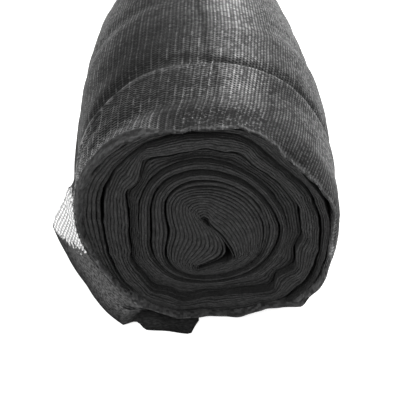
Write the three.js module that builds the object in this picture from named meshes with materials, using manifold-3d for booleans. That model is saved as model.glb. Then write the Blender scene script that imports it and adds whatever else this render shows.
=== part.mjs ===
// Debris netting: one long strip of black knitted net, folded double and wound into a roll that lies on its
// side. The front end is loosened and puffed, an old tie has left a mark round it, the middle is wound
// tighter, and the last turn's free end stands off at the front left.
// Millimetres, +Z up, +Y along the roll away from the loosened end, z = 0 the floor under the roll.
import * as THREE from "three";
import { mergeVertices } from "three/addons/utils/BufferGeometryUtils.js";
import Module from "manifold-3d";

// The roll
const LENGTH = 1000; // the net's 2 m width, folded double
const PRESS = 3; // how far the round is pressed flat where it rests
const RING_STEP = 5; // degrees between the points of a section
const LEAN = 18; // how far the tie mark comes forward on the left
const EYE_DROP = 3.5; // the turns are centred this far below the section's middle

// The gap that winds between the main turns, seen in both end faces
const GAP_DEPTH = 26;
const GAP_STEP = 10; // degrees between its points
const GAP_START = 235; // where it begins beside the core, in degrees
const GAP_TURNS = 3.75;
const GAP_STEP_OUT = 0.55; // it steps out to the next loop in the rest of each turn, under the core
const GAP_POINT = 0.5; // its width where it begins and ends
const GAP_CLOSING = 0.12; // turns over which it closes up at each end

// The loose end
const SHEET = 1.4; // thickness
const CLEAR = 0.4; // between the roll and the sheet
const SHEET_STEPS = 14; // strips from its root to its free edge
const FREE_EDGE = 175; // degrees
const ROOT = 245; // degrees, where it comes out from under the roll
const TONGUE_ROOT = 265; // degrees, in front of the roll
const TONGUE_BACK = -1.6; // the tongue ends this far in front of the roll
const ROOT_FRONT = -0.8; // and the rest of the sheet starts here

// Sections along the roll: distance from the front, half breadth, sideways shift, height, how much of the front's
// uneven outline is left, how much the section leans forward on the left, as the tie mark does, and how far the
// loose end stands off, as a share of its stand-off at the front.
const SECTIONS = [
  { at: 8, half: 101, sway: 0, height: 181, uneven: 1, lean: 0, loose: 0.9 },
  { at: 22, half: 102, sway: 0, height: 180, uneven: 1, lean: 0.2, loose: 0.7 },
  { at: 40, half: 103, sway: 0, height: 179, uneven: 0.95, lean: 0.4, loose: 0.42 },
  { at: 66, half: 104.5, sway: 0, height: 181.5, uneven: 0.85, lean: 0.7, loose: 0.1 },
  { at: 84, half: 105.5, sway: 0, height: 184, uneven: 0.75, lean: 1, loose: 0 },
  { at: 92, half: 105.5, sway: 0, height: 184, uneven: 0.7, lean: 1, loose: 0 },
  { at: 102, half: 103.5, sway: 0, height: 178, uneven: 0.65, lean: 1, loose: 0 },
  { at: 110, half: 103, sway: 0, height: 177, uneven: 0.6, lean: 1, loose: 0 },
  { at: 124, half: 105, sway: 0, height: 180.5, uneven: 0.55, lean: 0.8, loose: 0 },
  { at: 160, half: 105.5, sway: 0, height: 182, uneven: 0.45, lean: 0.4, loose: 0 },
  { at: 210, half: 101.5, sway: -2, height: 178, uneven: 0.4, lean: 0, loose: 0 },
  { at: 270, half: 96.5, sway: -2.5, height: 171, uneven: 0.35, lean: 0, loose: 0 },
  { at: 310, half: 92.5, sway: -2.5, height: 164, uneven: 0.3, lean: 0, loose: 0 },
  { at: 350, half: 87, sway: -1.5, height: 154.5, uneven: 0.3, lean: 0, loose: 0 },
  { at: 425, half: 78.5, sway: 0, height: 140, uneven: 0.25, lean: 0, loose: 0 },
  { at: 500, half: 76.5, sway: 0, height: 137, uneven: 0.25, lean: 0, loose: 0 },
  { at: 590, half: 78, sway: 0, height: 139.5, uneven: 0.25, lean: 0, loose: 0 },
  { at: 700, half: 83, sway: 0, height: 148, uneven: 0.3, lean: 0, loose: 0 },
  { at: 820, half: 88.5, sway: 0, height: 157, uneven: 0.4, lean: 0, loose: 0 },
  { at: 920, half: 92, sway: 0, height: 163, uneven: 0.5, lean: 0, loose: 0 },
  { at: 992, half: 92, sway: 0, height: 164, uneven: 0.6, lean: 0, loose: 0 },
];

// The turned-in lip round each end face, from its inner edge outwards: set back from the end, and drawn in.
const LIP = [
  { back: 5, inset: 9 },
  { back: 1.2, inset: 6.8 },
  { back: 0, inset: 4.2 },
  { back: 2, inset: 1.3 },
];

// The front's outline against a plain oval, and the two sides of the winding gap as shares of the way from
// the middle to that outline. A row for every 30 degrees, from +X towards +Z. The gap's first turn follows
// the core, notched on the left, the next the two thick bands, and the third the ruffled outer turns.
const FACE = [
  { outline: 1.0, core: 0.455, band: 0.571, shade: 0.692, ruffle: 0.74, outer: 0.875 },
  { outline: 0.965, core: 0.47, band: 0.585, shade: 0.715, ruffle: 0.77, outer: 0.88 },
  { outline: 1.0, core: 0.478, band: 0.581, shade: 0.705, ruffle: 0.745, outer: 0.885 },
  { outline: 1.0, core: 0.507, band: 0.605, shade: 0.715, ruffle: 0.8, outer: 0.88 },
  { outline: 1.05, core: 0.472, band: 0.573, shade: 0.69, ruffle: 0.775, outer: 0.87 },
  { outline: 1.06, core: 0.361, band: 0.473, shade: 0.58, ruffle: 0.685, outer: 0.83 },
  { outline: 0.995, core: 0.295, band: 0.436, shade: 0.536, ruffle: 0.63, outer: 0.79 },
  { outline: 0.955, core: 0.413, band: 0.49, shade: 0.576, ruffle: 0.68, outer: 0.825 },
  { outline: 0.985, core: 0.51, band: 0.574, shade: 0.637, ruffle: 0.725, outer: 0.845 },
  { outline: 1.0, core: 0.555, band: 0.62, shade: 0.675, ruffle: 0.705, outer: 0.855 },
  { outline: 1.045, core: 0.547, band: 0.623, shade: 0.69, ruffle: 0.71, outer: 0.862 },
  { outline: 1.06, core: 0.477, band: 0.574, shade: 0.69, ruffle: 0.72, outer: 0.872 },
];
const FACE_STEP = 360 / FACE.length;
const GAP_INSIDE = ["core", "band", "shade", "outer"]; // the gap's inner side at each whole turn
const GAP_OUTSIDE = ["core", "band", "ruffle", "outer"]; // and its outer side,
const GAP_WIDTH = [0.02, 0.018, 0, 0.025]; // with this much more

// The flattened hollow that the roll was started on: a bent slit, wider at its ends and at the bend. Its places
// are measured from the eye of the winding.
const SLIT = [
  { x: -2.1, z: 10.2, half: 1.7 },
  { x: 3.2, z: 2.7, half: 0.9 },
  { x: 9.5, z: -4.2, half: 0.8 },
  { x: 15.2, z: -13.2, half: 1.1 },
  { x: 18.4, z: -22.4, half: 2.6 },
  { x: 6.5, z: -29.2, half: 0.9 },
  { x: -6.6, z: -35.1, half: 1.5 },
];

// How far the loose end stands off the roll at the front, from its free edge down to the floor.
const STAND_OFF = [
  { at: 175, off: 15.5 },
  { at: 190, off: 10.5 },
  { at: 205, off: 9.5 },
  { at: 215, off: 12 },
  { at: 225, off: 17 },
  { at: 245, off: 26 },
];

// The sheet's front edge: where it ends, and how far it lifts off the floor where it is rumpled.
const FRONT_EDGE = [
  { at: 175, y: -6, lift: 0 },
  { at: 205, y: -7, lift: 0 },
  { at: 225, y: -4, lift: 0 },
  { at: 237, y: -2.6, lift: 0 },
  { at: 243, y: -7.5, lift: 2.5 },
  { at: 250, y: -9, lift: 0.4 },
  { at: 255, y: -10, lift: 2.2 },
  { at: 260, y: -13, lift: 0 },
  { at: 265, y: -5, lift: 1.2 },
];

const wasm = await Module();
wasm.setup();

const radians = THREE.MathUtils.degToRad;
const mix = THREE.MathUtils.lerp;

// A column of FACE at any angle, on a smooth closed curve through its rows.
function faceAt(column, degrees) {
  const place = THREE.MathUtils.euclideanModulo(degrees, 360) / FACE_STEP;
  const row = Math.floor(place);
  const t = place - row;
  const near = (step) => FACE[(row + step + FACE.length) % FACE.length][column];
  const slopeA = (near(1) - near(-1)) / 2;
  const slopeB = (near(2) - near(0)) / 2;
  const rise = near(1) - near(0);
  return near(0) + t * (slopeA + t * (3 * rise - 2 * slopeA - slopeB + t * (slopeA + slopeB - 2 * rise)));
}

// A column of a table whose rows are sorted by their "at", with straight lines between the rows.
function tableAt(table, column, at) {
  const next = table.findIndex((row) => row.at >= at);
  if (next === 0) return table[0][column];
  if (next < 0) return table.at(-1)[column];
  const [a, b] = [table[next - 1], table[next]];
  return mix(a[column], b[column], (at - a.at) / (b.at - a.at));
}

// Half of a section's full round, which the floor presses flat below, and the height of its middle.
const halfRise = (section) => (section.height + PRESS) / 2;
const middleOf = (section) => halfRise(section) - PRESS;

// A point of a section's outline, drawn in by an inset, or grown by a negative one.
function sectionPoint(section, degrees, inset = 0) {
  const swell = 1 + section.uneven * (faceAt("outline", degrees) - 1);
  const x = section.sway + (section.half * swell - inset) * Math.cos(radians(degrees));
  const z = middleOf(section) + (halfRise(section) * swell - inset) * Math.sin(radians(degrees));
  return new THREE.Vector2(x, Math.max(z, 0));
}

// A point of an end face, a share of the way from the eye of the winding to the outline.
function facePoint(section, degrees, share) {
  const eye = new THREE.Vector2(0, middleOf(section) - EYE_DROP);
  return eye.lerp(sectionPoint(section, degrees), share);
}

// How far from the front a point of a section is: the left side leans forward.
function alongAt(section, degrees) {
  return section.at - LEAN * section.lean * Math.max(0, -Math.cos(radians(degrees))) ** 2;
}

// Closed rings of points, front to back, joined into one body with flat ends.
function loft(rings) {
  const count = rings[0].length;
  const points = rings.flat();
  const index = [];
  for (let j = 0; j + 1 < rings.length; j++) {
    for (let i = 0; i < count; i++) {
      const here = j * count + i;
      const beside = j * count + ((i + 1) % count);
      index.push(here, here + count, beside);
      index.push(beside, here + count, beside + count);
    }
  }
  const lastRing = (rings.length - 1) * count;
  for (let i = 1; i + 1 < count; i++) {
    index.push(0, i, i + 1);
    index.push(lastRing, lastRing + i + 1, lastRing + i);
  }
  return new THREE.BufferGeometry().setFromPoints(points).setIndex(index);
}

function solidOf(geometry) {
  geometry.deleteAttribute("normal");
  geometry.deleteAttribute("uv");
  const merged = mergeVertices(geometry, 1e-4);
  const vertProperties = new Float32Array(merged.attributes.position.array);
  const triVerts = new Uint32Array(merged.index.array);
  return new wasm.Manifold(new wasm.Mesh({ numProp: 3, vertProperties, triVerts }));
}

function geometryOf(solid) {
  const { vertProperties, triVerts } = solid.getMesh();
  const geometry = new THREE.BufferGeometry();
  geometry.setAttribute("position", new THREE.BufferAttribute(vertProperties, 3));
  geometry.setIndex(new THREE.BufferAttribute(triVerts, 1));
  geometry.computeVertexNormals();
  return geometry;
}

// An outline in X and Z, made a bar from one distance along the roll to another.
function bar(outline, from, to) {
  const shape = new THREE.Shape(outline);
  const geometry = new THREE.ExtrudeGeometry(shape, { depth: to - from, bevelEnabled: false });
  geometry.rotateX(Math.PI / 2);
  geometry.translate(0, to, 0);
  return solidOf(geometry);
}

// One side of the winding gap after some turns, as a share of the way out from the middle.
function gapShare(columns, turns, degrees, widths) {
  const loop = Math.min(Math.floor(turns), columns.length - 2);
  const side = (k) => faceAt(columns[k], degrees) + (widths ? widths[k] : 0);
  return mix(side(loop), side(loop + 1), THREE.MathUtils.smoothstep(turns - loop, GAP_STEP_OUT, 1));
}

// The outline of the winding gap in an end face: out along its inner side and back along its outer side.
function gapOutline(section) {
  const steps = Math.round((GAP_TURNS * 360) / GAP_STEP);
  const inner = [];
  const outer = [];
  for (let k = 0; k <= steps; k++) {
    const turns = (GAP_TURNS * k) / steps;
    const degrees = GAP_START - 360 * turns;
    const open = Math.min(1, turns / GAP_CLOSING, (GAP_TURNS - turns) / GAP_CLOSING);
    const low = gapShare(GAP_INSIDE, turns, degrees);
    const high = gapShare(GAP_OUTSIDE, turns, degrees, GAP_WIDTH);
    const least = GAP_POINT / section.half;
    inner.push(facePoint(section, degrees, low));
    outer.push(facePoint(section, degrees, low + Math.max(least, (high - low) * open)));
  }
  return [...inner, ...outer.reverse()];
}

// The outline of the slit, scaled from the front section to another one.
function slitOutline(section) {
  const across = section.half / SECTIONS[0].half;
  const up = halfRise(section) / halfRise(SECTIONS[0]);
  const line = SLIT.map(({ x, z }) => {
    return new THREE.Vector2(x * across, middleOf(section) - EYE_DROP + z * up);
  });
  const sides = [1, -1].map((side) =>
    line.map((point, k) => {
      const before = line[Math.max(k - 1, 0)];
      const after = line[Math.min(k + 1, line.length - 1)];
      const along = new THREE.Vector2().subVectors(after, before).normalize();
      const aside = new THREE.Vector2(-along.y, along.x).multiplyScalar(side * SLIT[k].half);
      return aside.add(point);
    }),
  );
  return [...sides[0], ...sides[1].reverse()];
}

// The wound roll, with the gap between its main turns and the slit cut into both ends.
function makeRoll() {
  const front = SECTIONS[0];
  const rear = SECTIONS.at(-1);
  const ring = (section, place, inset) => {
    const points = [];
    for (let degrees = 0; degrees < 360; degrees += RING_STEP) {
      const { x, y: z } = sectionPoint(section, degrees, inset);
      points.push(new THREE.Vector3(x, place(degrees), z));
    }
    return points;
  };
  const rings = [
    ...LIP.map(({ back, inset }) => ring(front, () => back, inset)),
    ...SECTIONS.map((section) => ring(section, (degrees) => alongAt(section, degrees), 0)),
    ...LIP.toReversed().map(({ back, inset }) => ring(rear, () => LENGTH - back, inset)),
  ];
  let roll = solidOf(loft(rings));
  const faceBack = LIP[0].back;
  const proud = 1; // the cutters start this far in front of the face
  for (const outline of [gapOutline, slitOutline]) {
    roll = roll.subtract(bar(outline(front), faceBack - proud, faceBack + GAP_DEPTH));
    roll = roll.subtract(bar(outline(rear), LENGTH - faceBack - GAP_DEPTH, LENGTH - faceBack + proud));
  }
  return geometryOf(roll);
}

// A point of the loose end: it lies against the roll or stands off it, and never goes below the floor.
function sheetPoint(section, loose, degrees, y, outside, lift = 0) {
  const off = CLEAR + loose * tableAt(STAND_OFF, "off", degrees) + (outside ? SHEET : 0);
  const { x, y: z } = sectionPoint(section, degrees, -off);
  const floor = (outside ? 0 : SHEET) + lift;
  return new THREE.Vector3(x, y, Math.max(z, floor));
}

// The loose end of the strip: a sheet between an inner and an outer side, in rows from the front edge back.
function makeLooseEnd() {
  const front = SECTIONS[0];
  const rows = [];
  const addRow = (section, loose, root, place, lift) => {
    const row = { inner: [], outer: [] };
    for (let i = 0; i <= SHEET_STEPS; i++) {
      const degrees = mix(root, FREE_EDGE, i / SHEET_STEPS);
      row.inner.push(sheetPoint(section, loose, degrees, place(degrees), false, lift(degrees)));
      row.outer.push(sheetPoint(section, loose, degrees, place(degrees), true, lift(degrees)));
    }
    rows.push(row);
  };
  for (const back of [0, 0.5, 1]) {
    const place = (degrees) => mix(tableAt(FRONT_EDGE, "y", degrees), TONGUE_BACK, back);
    const lift = (degrees) => tableAt(FRONT_EDGE, "lift", degrees) * (1 - back);
    addRow(front, 1, TONGUE_ROOT, place, lift);
  }
  const flat = () => 0;
  addRow(front, 1, ROOT, () => ROOT_FRONT, flat);
  for (const section of SECTIONS) {
    addRow(section, section.loose, ROOT, (degrees) => alongAt(section, degrees), flat);
  }
  const end = SECTIONS.at(-1);
  addRow(end, end.loose, ROOT, () => LENGTH, flat);
  // each row's inner and outer sides make one closed ring
  const rings = rows.map(({ inner, outer }) => [...inner, ...outer.reverse()]);
  return loft(rings);
}

const netBlack = { color: 0x2e2f30, roughness: 0.55, metalness: 0 };
const sheerBlack = { color: 0x3a3b3c, roughness: 0.5, metalness: 0 };

const netting = new THREE.Group();
for (const [name, geometry, look] of [
  ["net_roll", makeRoll(), netBlack],
  ["loose_end", makeLooseEnd(), sheerBlack],
]) {
  const mesh = new THREE.Mesh(geometry, new THREE.MeshStandardMaterial(look));
  mesh.name = name;
  mesh.position.y = -LENGTH / 2;
  netting.add(mesh);
}

export default netting;
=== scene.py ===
# %% [markdown]
# # A roll of black debris netting, lying on its side
#
# The real object is one long strip of knitted net. It was folded double, wound up from a flattened start,
# tied once near its front end and cut loose again. So the front is puffed, a ring is left where the tie
# was, and the corner of the last turn stands off. The construction comes packed as two solids: the wound
# roll and its loose end. This lesson dresses them: first the many fine turns, then the outer turn with its
# knit, then the see-through loose end. Sizes are in metres. The roll lies along Y, on a floor at height 0.

# %% Load the frame
from math import radians

import bmesh
import bpy
import numpy as np
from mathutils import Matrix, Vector


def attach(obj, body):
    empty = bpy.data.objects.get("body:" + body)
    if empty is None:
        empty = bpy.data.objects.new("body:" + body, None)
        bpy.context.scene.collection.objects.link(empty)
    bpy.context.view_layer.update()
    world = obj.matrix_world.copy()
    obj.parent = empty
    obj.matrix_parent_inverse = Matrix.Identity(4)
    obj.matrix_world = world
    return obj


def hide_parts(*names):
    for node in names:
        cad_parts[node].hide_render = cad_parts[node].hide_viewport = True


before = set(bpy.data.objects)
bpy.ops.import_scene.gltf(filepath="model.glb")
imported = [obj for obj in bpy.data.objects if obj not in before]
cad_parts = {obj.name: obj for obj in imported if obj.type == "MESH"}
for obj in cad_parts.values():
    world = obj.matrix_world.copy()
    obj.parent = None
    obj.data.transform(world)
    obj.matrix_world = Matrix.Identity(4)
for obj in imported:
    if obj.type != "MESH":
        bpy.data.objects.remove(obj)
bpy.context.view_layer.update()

# %% [markdown]
# ## The camera
#
# The roll is seen from its front end, from above and a little to the left, through a long lens. The camera
# comes first, so that every later step can be looked at from there.

# %% Camera
CAMERA_PLACE = (-0.0207, -1.2986, 0.679)
CAMERA_TILT = 35.0  # degrees below the horizon
CAMERA_YAW = 1.08  # degrees to the right of the roll's axis
LENS = 117.0  # on Blender's 36 mm sensor

camera = bpy.data.objects.new("camera", bpy.data.cameras.new("camera"))
camera.data.lens = LENS
camera.location = CAMERA_PLACE
camera.rotation_euler = (radians(90 - CAMERA_TILT), 0, radians(-CAMERA_YAW))
bpy.context.scene.collection.objects.link(camera)
bpy.context.scene.camera = camera
print("camera at", CAMERA_PLACE, "with a", LENS, "mm lens")

# %% [markdown]
# ## The form of the roll
#
# A soft roll has no exact shape, so it is given by tables: a row for each section along it, and a row for
# each direction round its front. Smooth curves run through the rows. The curves must not swing past their
# rows, or a tight tie mark would throw up false bulges, so each slope is the harmonic mean of its
# neighbours' and is level at every high and low point.

# %% Smooth curves through tables


def smooth_curve(places, values, period=None):
    """A function that runs smoothly through a table's rows and never swings past them."""
    x = np.asarray(places, float)
    y = np.asarray(values, float)
    if period:
        x = np.concatenate([x - period, x, x + period])
        y = np.concatenate([y, y, y])
    rise = np.diff(y) / np.diff(x)
    slope = np.zeros_like(y)
    both = rise[1:] * rise[:-1]
    total = rise[1:] + rise[:-1]
    slope[1:-1] = np.where(both > 0, 2 * both / np.where(both > 0, total, 1), 0)

    def at(place):
        place = np.mod(place, period) if period else np.clip(place, x[0], x[-1])
        k = np.clip(np.searchsorted(x, place) - 1, 0, len(x) - 2)
        span = x[k + 1] - x[k]
        t = (place - x[k]) / span
        start = (1 + 2 * t) * y[k] + t * span * slope[k]
        end = (3 - 2 * t) * y[k + 1] + (t - 1) * span * slope[k + 1]
        return (1 - t) ** 2 * start + t**2 * end

    return at


def curves(names, rows, period=None):
    """A smooth curve for each named column of a table whose first column is the place."""
    places, *columns = zip(*rows)
    return {name: smooth_curve(places, column, period) for name, column in zip(names, columns)}


def ease(share):
    """From 0 to 1 with a soft start and end."""
    share = np.clip(share, 0, 1)
    return share**2 * (3 - 2 * share)


def between(value, low, high):
    """0 up to the low value, 1 from the high one on, with a soft step between."""
    return ease((value - low) / (high - low))


print("halfway up a curve and a step:", smooth_curve((0, 1), (0, 1))(0.5), between(0.5, 0, 1))

# %% Sections along the roll
LENGTH = 1.0
PRESS = 0.003  # the round is pressed flat by this much where it rests
LEAN = 0.050  # the tie mark comes forward by this much on the left
EYE_DROP = 0.0027  # the turns are centred this far below the middle of the section
FRONT_AT = 0.008  # the section whose outline the front was read against

# distance from the front, half breadth, sideways shift, height, share of the uneven outline and of the lean
SECTIONS = [
    (0.008, 0.1010, 0, 0.1810, 1.00, 0.0),
    (0.022, 0.1020, 0, 0.1800, 1.00, 0.2),
    (0.040, 0.1030, 0, 0.1790, 0.95, 0.4),
    (0.066, 0.1045, 0, 0.1815, 0.85, 0.7),
    (0.084, 0.1055, 0, 0.1840, 0.75, 1.0),
    (0.092, 0.1055, 0, 0.1840, 0.70, 1.0),
    (0.102, 0.1035, 0, 0.1780, 0.65, 1.0),
    (0.110, 0.1030, 0, 0.1770, 0.60, 1.0),
    (0.124, 0.1050, 0, 0.1805, 0.55, 0.8),
    (0.160, 0.1055, 0, 0.1820, 0.45, 0.4),
    (0.210, 0.1015, -0.0020, 0.1780, 0.40, 0.0),
    (0.270, 0.0965, -0.0025, 0.1710, 0.35, 0.0),
    (0.310, 0.0925, -0.0025, 0.1640, 0.30, 0.0),
    (0.350, 0.0870, -0.0015, 0.1545, 0.30, 0.0),
    (0.425, 0.0785, 0, 0.1400, 0.25, 0.0),
    (0.500, 0.0765, 0, 0.1370, 0.25, 0.0),
    (0.590, 0.0780, 0, 0.1395, 0.25, 0.0),
    (0.700, 0.0830, 0, 0.1480, 0.30, 0.0),
    (0.820, 0.0885, 0, 0.1570, 0.40, 0.0),
    (0.920, 0.0920, 0, 0.1630, 0.50, 0.0),
    (0.992, 0.0920, 0, 0.1640, 0.60, 0.0),
]
FORM = curves(("half", "sway", "height", "uneven", "lean"), SECTIONS)

# the front's outline against a plain oval, every 30 degrees from +X towards +Z
OUTLINE = [1.0, 0.965, 1.0, 1.0, 1.05, 1.06, 0.995, 0.955, 0.985, 1.0, 1.045, 1.06]
outline = smooth_curve(np.arange(0, 360, 30), OUTLINE, 360)


def eye(at):
    """The middle of the winding in a section, in X and Z."""
    rise = (FORM["height"](at) + PRESS) / 2
    return np.stack(np.broadcast_arrays(FORM["sway"](at), rise - PRESS - EYE_DROP), -1)


def spot(turn, at, share=1.0, off=0.0):
    """A point of a section in X and Z: turned by some degrees, a share of the way out from the eye to the
    outline, and some metres further out."""
    swell = 1 + FORM["uneven"](at) * (outline(turn) - 1)
    rise = (FORM["height"](at) + PRESS) / 2
    x = FORM["sway"](at) + (FORM["half"](at) * swell + off) * np.cos(np.radians(turn))
    z = rise - PRESS + (rise * swell + off) * np.sin(np.radians(turn))
    edge = np.stack(np.broadcast_arrays(x, np.maximum(z, 0)), -1)
    return eye(at) + (edge - eye(at)) * np.asarray(share)[..., None]


def along(turn, at):
    """Where a point of a section is along Y. The left side leans forward at the tie mark."""
    left = np.maximum(0, -np.cos(np.radians(turn)))
    return at - LEAN * FORM["lean"](at) * left**3 - LENGTH / 2


print("front", spot(np.array([0.0, 90, 180, 270]), FRONT_AT).round(4).tolist())

# %% [markdown]
# ## The turns in the end face
#
# The end face shows how the strip was wound. A flattened start left a bent slit. Round it lies a tight
# heart of many turns, then two smooth bands, a few turns that have slipped back, a group of ruffled turns,
# and a last loose group under the outer turn. Dark gaps part the groups. Each boundary is a loop round the
# eye of the winding, read off in the front as a radius every 15 degrees. The ruffled edge has sharper
# kinks, so it has its own rows.

# %% Loops between the groups of turns
LOOP_NAMES = ("heart", "core", "band", "pair", "ruffled", "loose", "cover")
MM = 0.001  # the tables of the end face are in millimetres
# degrees from +X towards +Z, then the radius of each loop
LOOP_ROWS = [
    (0, 43.5, 46, 55.8, 61.5, 86, 88.3, 94),
    (15, 42.6, 45.2, 54.2, 60.8, 84, 86.5, 92),
    (30, 42, 44.9, 53, 60, 82.5, 85, 88),
    (45, 42, 45, 53, 60.2, 79.7, 81.2, 87),
    (60, 41.8, 45, 54, 61, 82, 84.5, 91.5),
    (75, 41.5, 45.6, 55, 63.5, 88.8, 90.3, 93),
    (90, 41.3, 46.2, 56.5, 65.8, 88.4, 90.2, 91),
    (105, 42, 47, 57.3, 67, 89.5, 92.5, 94),
    (120, 42.5, 46, 57.2, 65.8, 91, 92.2, 97.5),
    (135, 40, 42.8, 54.2, 63, 89, 90.2, 99.5),
    (150, 34, 36.5, 49, 58.5, 85.5, 88.2, 100.5),
    (165, 29, 31.5, 44.3, 54, 81, 83.8, 97.5),
    (180, 26.5, 29, 42.8, 52.2, 77.8, 79.5, 93),
    (195, 28.7, 31.2, 45, 53.5, 77.5, 79.5, 89),
    (210, 34.5, 37, 47, 56.5, 79.5, 81, 89),
    (225, 40.5, 42.5, 48.5, 57, 81.5, 83, 90),
    (240, 43, 45, 49.5, 56.6, 84, 86, 90),
    (255, 43, 45.5, 49, 54.5, 81.5, 83.5, 87),
    (270, 42.5, 45, 48.8, 52.8, 77.2, 79, 82.5),
    (285, 43, 45.5, 49.3, 53.5, 79.5, 82.3, 86),
    (300, 44, 46.5, 50.8, 56, 83.5, 86.5, 89.5),
    (315, 45, 47, 52.5, 59.5, 89.5, 93, 99),
    (330, 45.5, 47.3, 53.8, 61, 90.5, 94.5, 98.5),
    (345, 44.3, 46.3, 55, 61.5, 88, 90, 95),
]
# the inner edge of the ruffled group: degrees and radius at each kink
RUFFLE_ROWS = [
    (0, 72.3), (10, 71.3), (20, 72.3), (30, 70), (41, 69.3), (52, 68), (60, 69),
    (68, 73.5), (75, 74.5), (82, 73), (90, 75), (105, 73.2), (113, 74.5), (124, 80.5),
    (130, 76), (139, 69.2), (149, 70.5), (157, 66), (165, 61.3), (180, 59.7), (195, 61),
    (208, 65.5), (222, 66), (232, 70.3), (243, 66.3), (252, 69.5), (262, 65.5), (270, 62),
    (285, 63), (298, 67), (312, 76.5), (321, 70.5), (331, 77), (345, 70.8), (355, 73.1),
]  # fmt: skip
# the bent slit: degrees, then X and Z from the eye. Its two sides run back to back
SLIT_ROWS = [
    (3, 17, -17.8), (15, 15.2, -14.8), (42, 9, -4.6), (70, 2.8, 2.4),
    (88, -0.4, 11.3), (103, -3.2, 12), (120, -3.7, 9.1), (138, 3.7, 3),
    (150, 10, -4), (166, 15, -16), (172, 15.4, -19.6), (180, 14.3, -23.4),
    (192, 11.2, -26.6), (205, 6.2, -29.4), (215, 0.4, -31.7), (227, -6, -33.2),
    (240, -7.8, -35), (256, -6.2, -37.3), (272, 0, -34.1), (302, 7.2, -31.3),
    (322, 16.5, -28.4), (336, 20.6, -26.6), (350, 18.6, -21.5),
]  # fmt: skip

DEEPER = 1.006  # the turns lie a little behind the front, where the picture's scale is smaller
DEGREES = np.arange(360)
OUTWARD = np.stack([np.cos(np.radians(DEGREES)), np.sin(np.radians(DEGREES))], -1)
radius = curves(LOOP_NAMES, LOOP_ROWS, 360)
radius["ruffle"] = smooth_curve(*zip(*RUFFLE_ROWS), 360)
slit = curves(("x", "z"), SLIT_ROWS, 360)
LOOPS = {name: DEEPER * MM * line(DEGREES)[:, None] * OUTWARD for name, line in radius.items()}
LOOPS["slit"] = MM * np.stack([slit["x"](DEGREES), slit["z"](DEGREES)], -1)
print("loops:", {name: np.linalg.norm(loop, axis=1).mean().round(4) for name, loop in LOOPS.items()})

# %% [markdown]
# ## The strip, wound up
#
# One strip makes all these turns. It runs right, down and left as it goes outwards, and it steps out to
# the next turn in the lower part of the face, where the turns are packed tight. So each turn has a loop of
# its own, and the strip eases from one to the next. The groups below say how many turns lie between two
# loops and how far back their front edges are. The middle of a group comes furthest forward, so that each
# group is a soft round band. A turn that is further back is seen higher up, so it is set lower to match.
# The gaps say where a loop stands open.

# %% Groups of turns
# name, turns, inner loop, outer loop, set-back of its front edges inside, midway and outside, waviness
GROUPS = [
    ("heart", 13, "slit", "heart", 0.0070, 0.0058, 0.0088, 0.2),
    ("rim", 1, "heart", "core", 0.0095, 0.0095, 0.0095, 0.2),
    ("first band", 4, "core", "band", 0.0085, 0.0052, 0.0085, 0.3),
    ("second band", 4, "band", "pair", 0.0085, 0.0048, 0.0090, 0.3),
    ("slipped", 5, "pair", "ruffle", 0.0100, 0.0120, 0.0140, 0.6),
    ("ruffled", 7, "ruffle", "ruffled", 0.0058, 0.0038, 0.0075, 1.0),
    ("loose", 4, "loose", "cover", 0.0095, 0.0060, 0.0055, 0.7),
]
SET_BACK = 0.0055  # the loops were read as if every edge were this far back
SIGHT = 0.737  # how much higher a point is seen for each metre that it is further back
DEEPEST_READ = 0.0090  # edges further back than this are left where they are
# loop: width of its gap, and the middle and half of the stretch in degrees where it stands open
GAPS = {
    "heart": (0.0009, 45, 62),
    "core": (0.0026, 126, 104),
    "band": (0.0016, 92, 118),
    "pair": (0.0008, 100, 75),
    "ruffle": (0.0014, 180, 180),
}
GAP_FADE = 20  # degrees over which a gap closes
RUFFLES = ((19, 0.00035), (33, 0.00030), (52, 0.00018))  # waves in one round, and how far they swing
RUFFLE_DRIFT = 0.35  # how far the broadest waves shift from turn to turn, in radians


def aside(turn, middle):
    """Degrees from a middle, between -180 and 180."""
    return (turn - middle + 180) % 360 - 180


def opened(name):
    """Half of a loop's gap in every direction."""
    width, middle, half = GAPS.get(name, (0, 0, 0))
    inside = half - np.abs(aside(DEGREES, middle))
    return width / 2 * ease(inside / GAP_FADE + 0.5)[:, None] * OUTWARD


def turn_loops():
    """The loop of each turn, from the slit outwards, its set-back and its waviness."""
    loops, backs, waviness = [LOOPS["slit"]], [SET_BACK], [0.0]
    for _, turns, inner, outer, inside, middle, outside, wavy in GROUPS:
        low = LOOPS[inner] + opened(inner)
        high = LOOPS[outer] - opened(outer)
        for k in range(turns):
            share = (k + 0.5) / turns
            side = inside if share < 0.5 else outside
            back = middle + (side - middle) * (2 * k / max(turns - 1, 1) - 1) ** 2
            phase = np.radians(DEGREES) + RUFFLE_DRIFT * len(loops) / RUFFLES[0][0]
            swing = sum(rise * np.sin(phase * n) for n, rise in RUFFLES)
            lowered = (0, -SIGHT * (min(back, DEEPEST_READ) - SET_BACK))
            loops.append(low + (high - low) * share + wavy * swing[:, None] * OUTWARD + lowered)
            backs.append(back)
            waviness.append(wavy)
    return np.array(loops), np.array(backs), np.array(waviness)


TURN_LOOPS, TURN_BACKS, TURN_WAVES = turn_loops()
TURNS = len(TURN_LOOPS) - 1
print(TURNS, "turns in", len(GROUPS), "groups")

# %% Way along the strip
START = 320  # degrees where each turn begins
STEP_OUT = 0.34  # share of a turn in which the strip steps out
STRIP_STEP = 0.005  # metres of strip between two rows of points
STEPS_A_TURN = 240  # for measuring the way


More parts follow.
